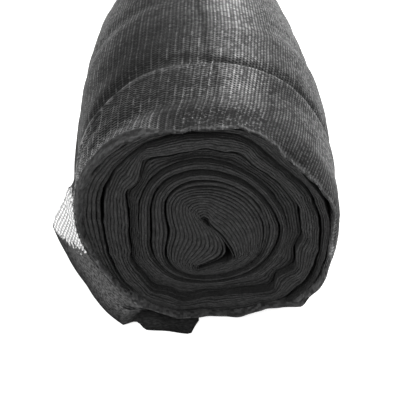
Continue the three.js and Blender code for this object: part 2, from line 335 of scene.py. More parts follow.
def wound(turns):
    """The strip's point about the eye after some turns, with how far its turn's front edge is set back."""
    k = np.clip(np.floor(turns).astype(int), 0, TURNS - 1)
    step = ease((turns - k) / STEP_OUT)
    degrees = np.mod(START - 360 * turns, 360)
    low = np.floor(degrees).astype(int) % 360
    part = (degrees - np.floor(degrees))[:, None]
    loop = [TURN_LOOPS[n, low] * (1 - part) + TURN_LOOPS[n, (low + 1) % 360] * part for n in (k, k + 1)]
    back = TURN_BACKS[k] * (1 - step) + TURN_BACKS[k + 1] * step
    return loop[0] + (loop[1] - loop[0]) * step[:, None], back


fine = np.linspace(0, TURNS, TURNS * STEPS_A_TURN + 1)
pieces_of_way = np.linalg.norm(np.diff(wound(fine)[0], axis=0), axis=1)
way = np.concatenate([[0], np.cumsum(pieces_of_way)])
STRIP_LENGTH = float(way[-1])
turn_at = np.interp(np.linspace(0, STRIP_LENGTH, round(STRIP_LENGTH / STRIP_STEP)), way, fine)
print(round(STRIP_LENGTH, 2), "metres of strip in", len(turn_at), "rows")

# %% [markdown]
# The strip is cut as a flat grid and then every point is moved to its place on the roll, as winding does.
# It is folded double, so its section is a flat loop with a rounded fold at each end. The thickness follows
# the room between one turn and the next. The front edges of a hand-wound roll never line up, so each turn
# is set forward or back a little and the edge wanders along the way.

# %% Cut a flat sheet
MERGE = 1e-7  # points closer than this become one


def cut_sheet(name, steps_along, steps_across):
    """A flat grid as a new object, with the step along and across of each of its points."""
    bm = bmesh.new()
    bm.loops.layers.uv.new("net")
    bmesh.ops.create_grid(bm, x_segments=steps_along, y_segments=steps_across, size=0.5)
    mesh = bpy.data.meshes.new(name)
    bm.to_mesh(mesh)
    bm.free()
    flat = np.empty(3 * len(mesh.vertices), np.float32)
    mesh.vertices.foreach_get("co", flat)
    steps = (flat.reshape(-1, 3)[:, :2] + 0.5) * (steps_along, steps_across)
    piece = bpy.data.objects.new(name, mesh)
    bpy.context.scene.collection.objects.link(piece)
    return piece, np.rint(steps).astype(int).T


def place_sheet(piece, steps, points, net, marks, closed):
    """Moves each point of a flat grid to its place, writes its place on the net, in ribs and courses, and
    any named marks for the material."""
    mesh = piece.data
    i, j = steps
    mesh.vertices.foreach_set("co", points[i, j].astype(np.float32).ravel())
    for name, values in marks.items():
        layer = mesh.attributes.new(name, "FLOAT", "POINT")
        layer.data.foreach_set("value", values[i, j].astype(np.float32))
    corners = np.empty(len(mesh.loops), np.int32)
    mesh.loops.foreach_get("vertex_index", corners)
    mesh.uv_layers["net"].data.foreach_set("uv", net[i, j][corners].astype(np.float32).ravel())
    bm = bmesh.new()
    bm.from_mesh(mesh)
    if closed:
        bmesh.ops.remove_doubles(bm, verts=bm.verts, dist=MERGE)
    bmesh.ops.recalc_face_normals(bm, faces=bm.faces)
    for face in bm.faces:
        face.smooth = True
    bm.to_mesh(mesh)
    bm.free()
    mesh.update()
    print(piece.name, len(mesh.polygons), "faces")
    return piece


# %% Places on a section
rim_turn = np.arange(0, 360, 0.5)
rim = spot(rim_turn, FRONT_AT) - eye(FRONT_AT)
rim_degrees = np.degrees(np.arctan2(rim[:, 1], rim[:, 0]))
rim_lead = aside(rim_turn, rim_degrees)
rim_radius = np.linalg.norm(rim, axis=1)


def on_section(points):
    """Points about the front's eye as degrees of turn and shares of the way out, for use in any section."""
    degrees = np.degrees(np.arctan2(points[:, 1], points[:, 0]))
    turn = degrees + np.interp(degrees, rim_degrees, rim_lead, period=360)
    share = np.linalg.norm(points, axis=1) / np.interp(degrees, rim_degrees, rim_radius, period=360)
    return turn, share


print("outline:", rim_radius.min().round(4), "to", rim_radius.max().round(4), "m from the eye")

# %% Uneven edges
WANDER_WAVES = (2.3, 5.1, 9.7)  # waves in one turn
OWN_PART, WAVE_PART = 0.6, 0.2  # parts of each turn's own shift and of each wave in the wander


def wander(turns, seed):
    """An uneven line along the strip, between about -1 and 1."""
    chance = np.random.default_rng(seed)
    each_turn = np.interp(turns, np.arange(TURNS + 2), chance.uniform(-1, 1, TURNS + 2))
    waves = sum(np.sin(2 * np.pi * (turns * n + chance.uniform())) for n in WANDER_WAVES)
    return OWN_PART * each_turn + WAVE_PART * waves


print("the front edges wander by", wander(turn_at, seed=3).std().round(2), "of their reach on average")

# %% Wind the strip
RIB_PITCH = 0.0029  # between the ribs of the knit, along the strip
COURSE_PITCH = 0.0026  # between its courses, along the roll
FULLNESS = 0.50  # half of a turn's thickness, as a share of the room between turns
THIN, THICK = 0.00015, 0.0016  # limits of that half thickness
EDGE_WANDER = 0.0009  # how far the edges wander
CALM = 0.5  # share of this wander that is there in the calmest turns too
REAR_BACK = 0.006  # how far the rear edges are set back
FOLD = ((0.7, 1.0), (0.18, 0.72))  # depth and half width of the fold's points, in half thicknesses
# rows of points behind the front, close at the narrow waist
DEPTHS = (0.03, 0.11, 0.21, 0.31, 0.425, 0.50, 0.59, 0.80, 0.97)
SLIT_TURNS = 0.9  # painted shade darkens the strip inside the slit, for this many turns
WALL_START = 4  # a higher power puts painted shade on less of the fold


def strip_profile(half, front, rear):
    """Distance from the front and half width of each row of points, once round the folded strip."""
    outer = [(front + half * depth, half * side) for depth, side in reversed(FOLD)]
    outer += [(np.full_like(half, depth), half) for depth in DEPTHS]
    outer += [(rear - half * depth, half * side) for depth, side in FOLD]
    inner = [(at, -side) for at, side in reversed(outer)]
    return [(front, 0 * half), *outer, (rear, 0 * half), *inner, (front, 0 * half)]


def wind_strip():
    points, back = wound(turn_at)
    tangent = np.gradient(points, axis=0)
    tangent /= np.linalg.norm(tangent, axis=1)[:, None]
    outward = np.stack([-tangent[:, 1], tangent[:, 0]], -1)
    room = [np.abs(((wound(turn_at + n)[0] - points) * outward).sum(1)) for n in (-1, 1)]
    room[1][turn_at > TURNS - 1] = np.inf
    half = np.clip(FULLNESS * np.minimum(*room), THIN, THICK)
    wavy = np.interp(turn_at, np.arange(TURNS + 1), TURN_WAVES)
    front = back + EDGE_WANDER * (CALM + wavy) * wander(turn_at, seed=3)
    rear = LENGTH - REAR_BACK - EDGE_WANDER * wander(turn_at, seed=4)
    profile = strip_profile(half, front, rear)

    turn, share = on_section(points)
    place = np.empty((len(turn_at), len(profile), 3))
    for j, (at, side) in enumerate(profile):
        place[:, j, [0, 2]] = spot(turn, at, share) + outward * side[:, None]
        place[:, j, 1] = at - LENGTH / 2
    ribs = np.linspace(0, STRIP_LENGTH, len(turn_at)) / RIB_PITCH
    courses = np.stack([at for at, _ in profile], -1) / COURSE_PITCH
    net = np.stack([np.broadcast_to(ribs[:, None], courses.shape), courses], -1)
    # painted shade on the walls of the slit, none at the tips of the fold
    walls = np.stack([np.abs(side) / half for _, side in profile], -1) ** WALL_START
    first = 1 - ease((turn_at - SLIT_TURNS) / (1 - STEP_OUT))
    piece, steps = cut_sheet("wound_turns", len(turn_at) - 1, len(profile) - 1)
    return place_sheet(piece, steps, place, net, {"shade": walls * first[:, None]}, closed=True)


wound_turns = wind_strip()

# %% [markdown]
# ## The outer turn
#
# The outer turn shows the knit: close ribs along the roll with small courses across. It is tucked in at
# both ends, and its front edge is a small bead that wanders. On the right it slopes back over a long
# shoulder, and at the upper left a broad plain lip shows no ribs. The ribs are real relief, four rows of
# points to a rib, because they catch the light from any side. The courses between them are left to the
# material.

# %% Front edge of the outer turn
# degrees, radius of the edge, length of the shoulder behind it
EDGE_ROWS = [
    (0, 94.5, 30), (10, 94.5, 34), (20, 91.5, 36), (30, 88.2, 36), (41, 86.8, 36),
    (50, 88, 34), (60, 91.5, 30), (73, 93.5, 26), (84, 91.2, 22), (97, 91.2, 20),
    (108, 93.5, 20), (120, 97.5, 20), (135, 100.5, 20), (150, 102, 18), (165, 99.5, 14),
    (180, 96, 12), (210, 88.5, 10), (240, 88, 10), (255, 87, 10), (270, 82.5, 10),
    (285, 86.5, 10), (299, 89, 10), (308, 95.5, 10), (316, 105, 8), (322, 103, 8),
    (329, 105.5, 10), (340, 101, 14), (350, 97, 22),
]  # fmt: skip
EDGE = curves(("radius", "shoulder"), EDGE_ROWS, 360)
EDGE_RISE = 0.0030  # the edge was read about a point this far above the eye
edge_points = MM * EDGE["radius"](DEGREES)[:, None] * OUTWARD + (0, EDGE_RISE)
edge_turn, edge_share = on_section(edge_points)
EDGE_WAVES = (7, 13, 22, 37)  # waves of the edge in one round
EDGE_SWING = (0.0010, 0.005)  # how far they swing it along the roll, in metres, and outwards, in share


def edge_swing(turn, seed):
    """How the edge wanders round the roll, between about -1 and 1."""
    phases = np.random.default_rng(seed).uniform(0, 2 * np.pi, len(EDGE_WAVES))
    waves = [np.sin(np.radians(turn) * n + phase) for n, phase in zip(EDGE_WAVES, phases)]
    return sum(waves) / len(EDGE_WAVES) ** 0.5


print("the front edge is", edge_share.min().round(3), "to", edge_share.max().round(3), "of the way out")

# %% From tuck to tuck
LIP_FRONT = 0.0012  # where the edge comes to
# depth and change of share, of the tucked-in cloth and of the bead of the edge
TUCK = ((0.040, -0.040), (0.012, -0.025), (0.005, -0.010))
BEAD = ((0.0, 0.0), (-0.0012, 0.007), (0.0002, 0.015), (0.0028, 0.013))
# degrees, how many times further the cloth is rolled in
ROLLED_IN = smooth_curve(
    (0, 100, 118, 158, 180, 230, 250, 305, 325, 360),
    (1, 1, 3.2, 3.2, 1, 1, 0.3, 0.3, 1, 1),
)
REAR_EDGE = 0.93  # share of the way out of the rear edge
REAR_SHOULDER = 0.010
ROUND = np.radians([18, 36, 54, 72, 90])  # steps round the rear shoulder
# distance along the roll between rows of points, up to each distance
ROW_STEPS = ((0.045, 0.002), (0.12, 0.003), (0.19, 0.012), (0.224, 0.004), (0.35, 0.014), (0.985, 0.030))


def rows_along():
    """Distances behind the edge of the rows of points along the outer turn."""
    rows = [0.0]
    for end, step in ROW_STEPS:
        while rows[-1] + step < end:
            rows.append(rows[-1] + step)
    return rows[1:]


def outer_profile(turn):
    """Distance from the front and share of the way out, for each row of points from tuck to tuck."""
    edge = np.interp(turn, edge_turn, edge_share, period=360) + EDGE_SWING[1] * edge_swing(turn, seed=5)
    front = LIP_FRONT + EDGE_SWING[0] * edge_swing(turn, seed=6)
    rows = [(front + depth, edge + change * ROLLED_IN(turn % 360)) for depth, change in TUCK]
    rows += [(front + depth, edge + change) for depth, change in BEAD]
    first, lip = rows[-1]
    shoulder = MM * EDGE["shoulder"](turn)
    for distance in rows_along():
        left = np.clip(1 - distance / shoulder, 0, 1)
        rows.append((first + distance, lip + (1 - lip) * np.sqrt(1 - left**2)))
    for a in ROUND:
        rows.append((LENGTH - REAR_SHOULDER * (1 - np.sin(a)), REAR_EDGE + (1 - REAR_EDGE) * np.cos(a)))
    rows += [(LENGTH - depth, REAR_EDGE + change) for depth, change in reversed(TUCK)]
    return (np.stack(np.broadcast_arrays(*column), -1) for column in zip(*rows))


print(len(rows_along()), "rows of points between the front edge and the rear shoulder")

# %% [markdown]
# Cloth that was tied keeps its creases. They are placed one by one, each as a soft ridge or trough across
# the
# ribs: a raised fold along the tie mark, a groove behind it on the right, soft swellings in front of it, a
# flat on the left where the loose end lies, and a slanted crease further back. The edge of the turn
# beneath shows as a faint step along the top. A sculpted mesh could hold them too, but a table is easier
# to set right.

# %% Creases of the outer turn
# middle in degrees, half of its length in degrees, distance from the front, slant in metres a degree,
# half width, height
CREASES = [
    (118, 60, 0.0885, 0.0, 0.0028, 0.0017),
    (152, 24, 0.0885, 0.0, 0.0028, 0.0012),
    (58, 50, 0.1070, 0.0, 0.0045, -0.0030),
    (45, 60, 0.0900, 0.0, 0.0070, 0.0010),
    (75, 60, 0.0380, 0.0, 0.0200, 0.0014),
    (128, 40, 0.0430, 0.0, 0.0100, -0.0009),
    (45, 19, 0.2080, -0.0003, 0.0035, -0.0012),
    (150, 30, 0.1500, 0.0006, 0.0120, -0.0010),
    (20, 30, 0.0550, 0.0002, 0.0100, 0.0008),
    (178, 36, 0.0800, 0.0, 0.0500, -0.0032),
    (18, 32, 0.0220, 0.0, 0.0300, 0.0022),
    (18, 30, 0.1070, 0.0, 0.0045, -0.0030),
    (78, 34, 0.0700, 0.0, 0.0120, 0.0010),
]
CREASE_ENDS = 1.6  # how soon a crease has its full height, from its ends
# the edge of the turn beneath runs along the top: distance from the front, degrees
UNDER_EDGE = smooth_curve((0.03, 0.07, 0.12, 0.25, 0.60), (87, 87, 90, 93, 95))
UNDER_STEP = 0.0007  # its height
UNDER_SLOPE, UNDER_FADE = 3.0, 55.0  # the degrees of its slope and of its fading
LUMPS = ((2, 9.0), (3, 17.0), (5, 27.0))  # waves round and along of a faint unevenness
LUMP_RISE = 0.0004


def hill(away):
    """1 at 0, and softly down to 0 on both sides."""
    return np.exp(-(away**2))


def creases(turn, at):
    """How far the cloth stands out from the plain form of the roll."""
    rise = 0 * at
    for middle, reach, place, slant, width, height in CREASES:
        beside = aside(turn, middle)
        across = (at - place - slant * beside) / width
        rise = rise + height * ease(CREASE_ENDS * (1 - np.abs(beside) / reach)) * hill(across)
    for n, k in LUMPS:
        rise = rise + LUMP_RISE * np.sin(np.radians(turn) * n + k * at * 2 * np.pi)
    beyond = aside(UNDER_EDGE(at), turn)
    return rise + UNDER_STEP * ease(beyond / UNDER_SLOPE) * (1 - ease(beyond / UNDER_FADE))


heights = [row[-1] for row in CREASES]
print(len(CREASES), "creases, from", min(heights), "to", max(heights), "m high")

# %% [markdown]
# A net that was knitted in one go still looks different from place to place, by how it is pulled. In front
# it is slack and its ribs stand high, behind the tie mark it is taut, and round the left side every other
# rib stands out. So the sheet gets marks: numbers on its points that say how much of each look it has
# there. Some marks carry painted light and shade as well: a painted highlight on the fold along the tie
# mark and on the puffed front, painted shade and painted glints on the speckled front, painted shade
# behind the tie mark on the left, and painted light on the lip of the rim. The material reads them later.
# Each mark has a stretch round the roll and a reach along it, with soft ends.

# %% Stretches and reaches of the looks
# look: degrees where it starts, where it is full, where it starts to end, and where it has ended
STRETCHES = {
    "standing lip": (105, 120, 163, 178),
    "slack ribs": (92, 112, 270, 300),
    "paired": (68, 92, 285, 345),
    "streaky": (106, 120, 360, 374),
    "puffed": (106, 120, 185, 200),
    "speckled": (55, 75, 98, 110),
    "crest": (80, 110, 168, 182),
    "squeezed": (70, 90, 135, 160),
}
# look: distance from the front where it starts to change, and where it has changed
REACHES = {
    "paired": (0.12, 0.22),
    "streaky": (0.092, 0.104),
    "puffed": (0.080, 0.092),
    "rear shade": (0.10, 0.15),
    "crisp": (0.030, 0.065),
    "painted rim light": (0.010, 0.020),
}


def stretch(look, turn):
    """1 inside a stretch round the roll, 0 outside it."""
    start, full, fading, end = STRETCHES[look]
    return between(turn % 360, start, full) * (1 - between(turn % 360, fading, end))


def behind(look, at):
    """0 in front of a reach along the roll, 1 behind it."""
    return between(at, *REACHES[look])


print(len(STRETCHES), "stretches,", len(REACHES), "reaches")

# %% The plain lip
# degrees, width of the plain lip
LIP = smooth_curve(
    (100, 110, 120, 135, 149, 165, 180, 205, 270, 310, 335, 348),
    (0.0, 0.007, 0.016, 0.024, 0.020, 0.014, 0.010, 0.012, 0.016, 0.014, 0.006, 0.0),
)
LIP_FADE = 0.0020  # the lip turns into ribs over this distance
LIP_RISE, LIP_CREASE = 0.0012, 0.0008  # the lip stands up, with a crease along its middle
LIP_MIDDLE, LIP_CREASE_WIDTH = 0.5, 0.18  # where the crease is and how broad, in shares of the lip


def plain_lip(turn, at):
    """1 on the plain lip of the front edge and 0 elsewhere, and how far the lip stands up."""
    width = LIP(turn % 360)
    lip = ease((width - at) / LIP_FADE + 0.5)
    across = at / np.maximum(width, LIP_FADE)
    crease = LIP_CREASE * hill((across - LIP_MIDDLE) / LIP_CREASE_WIDTH)
    return lip, stretch("standing lip", turn) * lip * (LIP_RISE - crease)


print("the lip is up to", LIP(DEGREES).max().round(4), "m wide")

# %% Ribs of the outer turn
RIBS = 208
ROWS_A_RIB = 4
SEAM = 255  # degrees, under the roll
CLOSER, CLOSEST, CLOSER_REACH = 0.15, 66, 30  # the ribs lie closer round this turn, over these degrees
RIB_SHAPE = np.array([0.0, 0.35, 1.0, 0.35])  # rise of the four rows of a rib
RIB_RISE = (0.00018, 0.00012)  # of every other rib, where the net is taut
SLACK_RISE = (0.00060, 0.00012)  # the same where it is slack, on the left
FRONT_RIBS = 0.4  # how much higher the taut ribs stand near the front edge
SLACK_FROM, SLACK_FADE = 0.026, 0.022  # the net is slack up to this distance, and taut after some more
PAST_LIP = 0.006  # it is slack at least this far behind the plain lip


def rib_turns():
    """Degrees of each row of points round the roll."""
    whole = SEAM + np.arange(361.0)
    count = np.cumsum(1 + CLOSER * hill(aside(whole, CLOSEST) / CLOSER_REACH))
    return np.interp(np.linspace(count[0], count[-1], RIBS * ROWS_A_RIB + 1), count, whole)


def slackness(turn, at):
    """1 where the net is slack, 0 where it is taut."""
    return 1 - ease((at - np.maximum(SLACK_FROM, LIP(turn % 360) + PAST_LIP)) / SLACK_FADE)


def rib_rise(turn, at, slack):
    """How high each row of points stands on its rib."""
    row = np.arange(len(turn))
    shape = RIB_SHAPE[row % ROWS_A_RIB]
    odd = row // ROWS_A_RIB % 2
    taut_rise, slack_rise = ((shape * np.take(rise, odd))[:, None] for rise in (RIB_RISE, SLACK_RISE))
    left = slack * stretch("slack ribs", turn)
    return taut_rise * (1 + FRONT_RIBS * (1 - behind("crisp", at))) * (1 - left) + slack_rise * left


print(RIBS, "ribs,", round(360 / RIBS, 2), "degrees apart on average")

# %% Marks for the material
REAR_SHADE = 0.15  # the net is painted this much darker behind the tie mark on the left: painted shade
PAIRED_FADE = 0.6  # the pairs of ribs fade by this share towards the rear
CRISP, CRISP_HALF, CRISP_FADE = 10, 58, 20  # middle, half and fading of the crisp ribs' stretch
CREST, CREST_WIDTH, CREST_HIGHLIGHT = 0.0885, 0.0022, 0.8  # the fold along the tie mark gets a painted highlight
SQUEEZED, SQUEEZED_WIDTH, SQUEEZED_PLAIN = 0.0975, 0.006, 0.7  # the groove behind it is nearly plain
# degrees, how much lighter the lip is painted where little light reaches it: painted light
RIM_LIGHT = smooth_curve(
    (100, 115, 165, 185, 202, 235, 250, 290, 312, 328, 342, 356),
    (0, 0.2, 0.3, 0.5, 1.2, 1.2, 0.6, 0.6, 0.9, 1.2, 1.5, 0),
)


def outer_marks(turn, at, lip, slack):
    """How much of each look the outer turn has at each point."""
    bead = np.zeros_like(at)
    bead[:, len(TUCK) : len(TUCK) + len(BEAD)] = 1
    crest = hill((at - CREST) / CREST_WIDTH) * stretch("crest", turn)
    squeezed = hill((at - SQUEEZED) / SQUEEZED_WIDTH) * stretch("squeezed", turn)
    paired = stretch("paired", turn) * (1 - PAIRED_FADE * behind("paired", at))
    rear_shade = REAR_SHADE * stretch("paired", turn) * behind("rear shade", at)
    crisp = ease((CRISP_HALF - np.abs(aside(turn, CRISP))) / CRISP_FADE)
    return {
        "crisp": crisp * (1 - behind("crisp", at)),
        "plain": np.maximum(lip, SQUEEZED_PLAIN * squeezed),
        "slack": slack,
        # the bead mark also carries the painted highlight on the fold along the tie mark
        "bead": np.maximum(bead * (1 - lip), CREST_HIGHLIGHT * crest),
        "paired": paired,
        "streaky": paired * behind("streaky", at) * stretch("streaky", turn),
        "puffed": stretch("puffed", turn) * (1 - behind("puffed", at)),
        # painted shade behind the tie mark, less the painted light on the lip of the rim
        "shade": rear_shade - RIM_LIGHT(turn % 360) * (1 - behind("painted rim light", at)),
        "speckled": slack * stretch("speckled", turn),
    }


print("the painted rim light is lightest at", DEGREES[RIM_LIGHT(DEGREES).argmax()], "degrees")

# %% Wrap the outer turn
# the ribs lean: distance from the front, degrees they have shifted by
TWIST = smooth_curve((0, 0.05, 0.1, 0.35, 1.0), (0, -4.0, -7.0, -14.5, -30))
LIP_SMOOTH = 0.9  # share of the ribs' rise that is lost on the lip
TINY = 1e-12  # keeps a length from being zero


def facing(place):
    """The way that each point of the closed turn faces."""
    around = np.gradient(np.concatenate([place[-2:-1], place, place[1:2]]), axis=0)[1:-1]
    normal = np.cross(np.gradient(place, axis=1), around)
    return normal / np.maximum(np.linalg.norm(normal, axis=2), TINY)[..., None]


def wrap_outer_turn():
    turn = rib_turns()
    at, share = outer_profile(turn)
    turn = turn[:, None] + TWIST(at)
    lip, stands = plain_lip(turn, at)
    slack = slackness(turn, at)
    place = np.empty((*at.shape, 3))
    place[..., [0, 2]] = spot(turn, at, share, creases(turn, at) + stands)
    place[..., 1] = along(turn, at)
    place += facing(place) * (rib_rise(turn, at, slack) * (1 - LIP_SMOOTH * lip))[..., None]
    place[..., 2] = np.maximum(place[..., 2], 0)
    step = np.linalg.norm(np.diff(place, axis=1), axis=2)
    courses = np.cumsum(np.pad(step, ((0, 0), (1, 0))), axis=1) / COURSE_PITCH
    ribs = np.arange(len(turn)) / ROWS_A_RIB
    net = np.stack([np.broadcast_to(ribs[:, None], courses.shape), courses], -1)
    piece, steps = cut_sheet("outer_turn", at.shape[0] - 1, at.shape[1] - 1)
    return place_sheet(piece, steps, place, net, outer_marks(turn, at, lip, slack), closed=True)


outer_turn = wrap_outer_turn()

# %% [markdown]
# ## The loose end
#
# The last of the strip comes out from under the roll, climbs its left side and stops in a free edge. At
# the front it stands off the roll, and a rumpled tongue of it lies on the floor. Its front corner is a
# single layer that light comes through. Below that corner and behind it the net lies double. A cloth
# simulation could drape it, but tables that say how far it stands off give the same shape on every run.

# %% Where the loose end lies
FREE_EDGE, ROOT, TONGUE_ROOT = 173.5, 245, 267  # degrees
TONGUE_UNDER = (0.010, 0.022)  # the tongue's root ends between these distances, under the roll
CLEAR = 0.0011  # from the roll to the middle of the cloth
CLOTH = 0.0004  # the cloth's middle is this far above the floor
STRIPS = 64  # from its root to its free edge
FRONT_ROWS = np.linspace(0, 1, 7)  # from the front edge to where the roll starts
ROLL_ROWS = np.concatenate([np.arange(0.004, 0.13, 0.004), np.arange(0.14, 0.99, 0.025), [0.998]])
# degrees, how far it stands off the roll at the front
STAND_OFF = smooth_curve(
    (170, 175, 190, 205, 215, 225, 235, 245, 265),
    (0.0158, 0.0137, 0.0086, 0.0079, 0.0108, 0.0143, 0.0165, 0.0205, 0.0215),
)
# distance from the front, share of that stand-off
LOOSE = smooth_curve(
    (-0.01, 0, 0.022, 0.040, 0.066, 0.084, 0.092, 0.102, 0.110, 0.124),
    (1.1, 1, 0.82, 0.63, 0.32, 0.20, 0.17, 0.14, 0.08, 0),
)
# degrees, where the front edge is, how far it lifts off the floor
FRONT_EDGE_ROWS = [
    (175, -0.0060, 0),
    (205, -0.0070, 0),
    (225, -0.0040, 0),
    (237, -0.0036, 0),
    (242.5, -0.0045, 0.0018),
    (247, -0.0100, 0.0004),
    (254, -0.0112, 0.0004),
    (263.5, -0.0147, 0),
    (267, -0.0010, 0.0010),
]
FRONT_EDGE = curves(("y", "lift"), FRONT_EDGE_ROWS)
# distance from the front, degrees that the free edge wanders down by
FREE_WANDER = smooth_curve(
    (0, 0.13, 0.20, 0.30, 0.43, 0.58, 0.70, 0.84, 1.0),
    (0, 0, 2.5, -1.0, 4.0, 0.5, 5.0, 1.5, 4.0),
)
HUMP_RISE = 0.006  # the tongue rises by this to the roll's lower edge
HUMP_START, HUMP_SINKS = (232, 242), (249, 256)  # degrees over which the hump rises and sinks
SUNK = 0.75  # by this share
HUMP_FRONT, HUMP_REAR = (-0.009, 0.001), (0.008, 0.018)  # where it rises and sinks along the roll


def loose_places():
    """Degrees, distance from the front, and place of each point of the loose end."""
    share = np.linspace(0, 1, STRIPS + 1)[:, None]
    rows = np.concatenate([np.zeros(len(FRONT_ROWS)), ROLL_ROWS])[None]
    ahead = np.concatenate([1 - FRONT_ROWS, 0 * ROLL_ROWS])[None]
    root = TONGUE_ROOT + (ROOT - TONGUE_ROOT) * between(rows, *TONGUE_UNDER)
    turn = root + (FREE_EDGE + FREE_WANDER(rows) - root) * share
    y = FRONT_EDGE["y"](turn) * ahead + along(turn, rows) + LENGTH / 2
    xz = spot(turn, np.maximum(rows, FRONT_AT), 1.0, CLEAR + LOOSE(rows) * STAND_OFF(turn))
    hump = between(turn, *HUMP_START) * (1 - SUNK * between(turn, *HUMP_SINKS))
    hump = hump * between(y, *HUMP_FRONT) * (1 - between(y, *HUMP_REAR))
    floor = CLOTH + FRONT_EDGE["lift"](turn) * ahead + HUMP_RISE * hump
    return turn, y, np.stack([xz[..., 0], y - LENGTH / 2, np.maximum(xz[..., 1], floor)], -1)


print("the loose end stands off by up to", STAND_OFF(np.arange(170, 266)).max().round(4), "m")

# %% Lay the loose end
SHEER_START = 168  # degrees where the double net starts at its front edge
SHEER_SLOPE = 800  # degrees a metre: the corner above this line is a single layer
SHEER_FADE = 16  # degrees
CLOSED, CLOSED_REACH = (0.97, 0.90), 0.035  # how far the double net closes at its front edge and behind it
HEM, HEM_PLIES = 0.0016, 1.6  # width of the closed front edge, and how closed it is
CORNER = (0.045, 0.075)  # behind these distances it lies double up to the free edge
SELVEDGE = 0.45  # how far the free edge closes
# distance from the front, degrees where the dark tongue begins
TONGUE_START = smooth_curve((-0.006, -0.004, 0.004, 0.012, 0.030), (233, 236, 240, 242.5, 244))
TONGUE_FADE, TONGUE_SHADE = 2, 0.42  # degrees over which it begins, and how much darker it is painted: painted shade
# distance from the front edge, how much light the double net lets through
VEIL = smooth_curve((0, 0.003, 0.008, 0.014, 0.030, 0.060), (0.0, 0.02, 0.03, 0.07, 0.08, 0.05))
LOOSE_STRETCH = 1.38  # the loose net is pulled this much wider than the wound net


def loose_marks(turn, y):
    """How closed the loose net is at each point, what it lets through and how much painted shade darkens
    it.
    """
    from_edge = y - FRONT_EDGE["y"](turn)
    tongue = ease((turn - TONGUE_START(y)) / TONGUE_FADE)
    closed = CLOSED[0] + (CLOSED[1] - CLOSED[0]) * ease(y / CLOSED_REACH)
    plies = closed * ease((turn - SHEER_START - SHEER_SLOPE * from_edge) / SHEER_FADE) * (1 + tongue)
    plies = np.maximum(plies, HEM_PLIES * (1 - ease(from_edge / HEM)))
    plies = np.maximum(plies, between(from_edge, *CORNER))
    plies[-1] = np.maximum(plies[-1], SELVEDGE)
    veil = VEIL(from_edge) * (1 - tongue)
    return {"plies": plies, "lined": np.clip(plies, 0, 1), "veil": veil, "shade": TONGUE_SHADE * tongue}


def lay_loose_end():
    turn, y, place = loose_places()
    across = np.linalg.norm(np.diff(place, axis=0), axis=2)
    ribs = np.cumsum(np.pad(across, ((1, 0), (0, 0))), axis=0) / RIB_PITCH
    courses = (place[..., 1] + LENGTH) / COURSE_PITCH
    net = np.stack([ribs - ribs[-1], courses], -1) / LOOSE_STRETCH
    piece, steps = cut_sheet("loose_net", STRIPS, place.shape[1] - 1)
    return place_sheet(piece, steps, place, net, loose_marks(turn, y), closed=False)


loose_net = lay_loose_end()

# %% [markdown]
# ## The net as a material
#
# The knit is too fine to model, so a material draws it. Each sheet carries its place on the net in its UV
# map: ribs counted one way, courses the other. From these two numbers come a chain of stitches on each
# rib, slanted courses between the ribs, and the holes. A small class lets shader maths be written as plain
# Python, each operator adding the Math node that does it.

# %% Shader maths in Python


class Value:
    """One socket of a material's nodes. Operators on it add Math nodes."""

    def __init__(self, tree, socket=None):
        self.tree = tree
        self.socket = socket

    def feed(self, node, inputs):
        """Links values to a node's sockets, and sets plain numbers and colours on them."""
        for name, value in inputs.items():
            if isinstance(value, Value):
                self.tree.links.new(value.socket, node.inputs[name])
            else:
                node.inputs[name].default_value = value

    def node(self, kind, settings, inputs, output=0):
        """Adds a node, sets it up, feeds its sockets and returns one of its outputs."""
        made = self.tree.nodes.new("ShaderNode" + kind)
        for name, setting in settings.items():
            setattr(made, name, setting)
        self.feed(made, inputs)
        return Value(self.tree, made.outputs[output])

    def math(self, operation, *values):
        return self.node("Math", {"operation": operation}, dict(enumerate(values)))

    def __add__(self, other):
        return self.math("ADD", self, other)

    def __sub__(self, other):
        return self.math("SUBTRACT", self, other)

    def __rsub__(self, other):
        return self.math("SUBTRACT", other, self)

    def __mul__(self, other):
        return self.math("MULTIPLY", self, other)

    __radd__ = __add__
    __rmul__ = __mul__

    def between(self, low, high):
        """A soft step from 0 to 1 as the value goes from low to high."""
        inputs = {"Value": self, "From Min": low, "From Max": high}
        return self.node("MapRange", {"interpolation_type": "SMOOTHSTEP"}, inputs)

    def wave(self):
        """A zigzag: 0 where the value is half past a whole number, 1 at whole numbers."""
        return self.math("ABSOLUTE", self.math("FRACT", self) * 2 - 1)


# %% Nodes that the finishes share


def new_material(name):
    """A new material, with a maker of nodes and its shader."""
    made = bpy.data.materials.new(name)
    made.use_nodes = True
    return made, Value(made.node_tree), made.node_tree.nodes["Principled BSDF"]


def mark(maker, name):
    """A mark that was written on the sheet's points."""
    return maker.node("Attribute", {"attribute_name": name}, {}, "Fac")


def net_place(maker):
    """The place on the net, and its ribs and courses."""
    place = maker.node("UVMap", {"uv_map": "net"}, {})
    return place, *(maker.node("SeparateXYZ", {}, {"Vector": place}, axis) for axis in ("X", "Y"))


def pair(maker, first, second):
    """Two values as one place."""
    return maker.node("CombineXYZ", {}, {"X": first, "Y": second})


def noise(maker, place, scale=1.0, detail=1.0, dimensions="2D"):
    """Soft patches of chance."""
    inputs = {"Vector": place, "Scale": scale, "Detail": detail}
    return maker.node("TexNoise", {"noise_dimensions": dimensions}, inputs)


def specks(maker, first, second):
    """One chance number for each whole step of two values."""
    place = pair(maker, maker.math("FLOOR", first), maker.math("FLOOR", second))
    return maker.node("TexWhiteNoise", {"noise_dimensions": "2D"}, {"Vector": place})


def solid_noise(maker, scale, detail):
    """Soft patches of chance that do not follow the net."""
    return noise(maker, maker.node("TexCoord", {}, {}, "Object"), scale, detail, "3D")


def blend(maker, factor, low, high, how="MIX"):
    """A colour between two colours, or one laid over the other."""
    inputs = {"Factor": factor, "A": low, "B": high}
    return maker.node("Mix", {"data_type": "RGBA", "blend_type": how}, inputs, "Result")


marks = [layer.name for layer in outer_turn.data.attributes if layer.data_type == "FLOAT"]
print("marks on the outer turn:", marks)

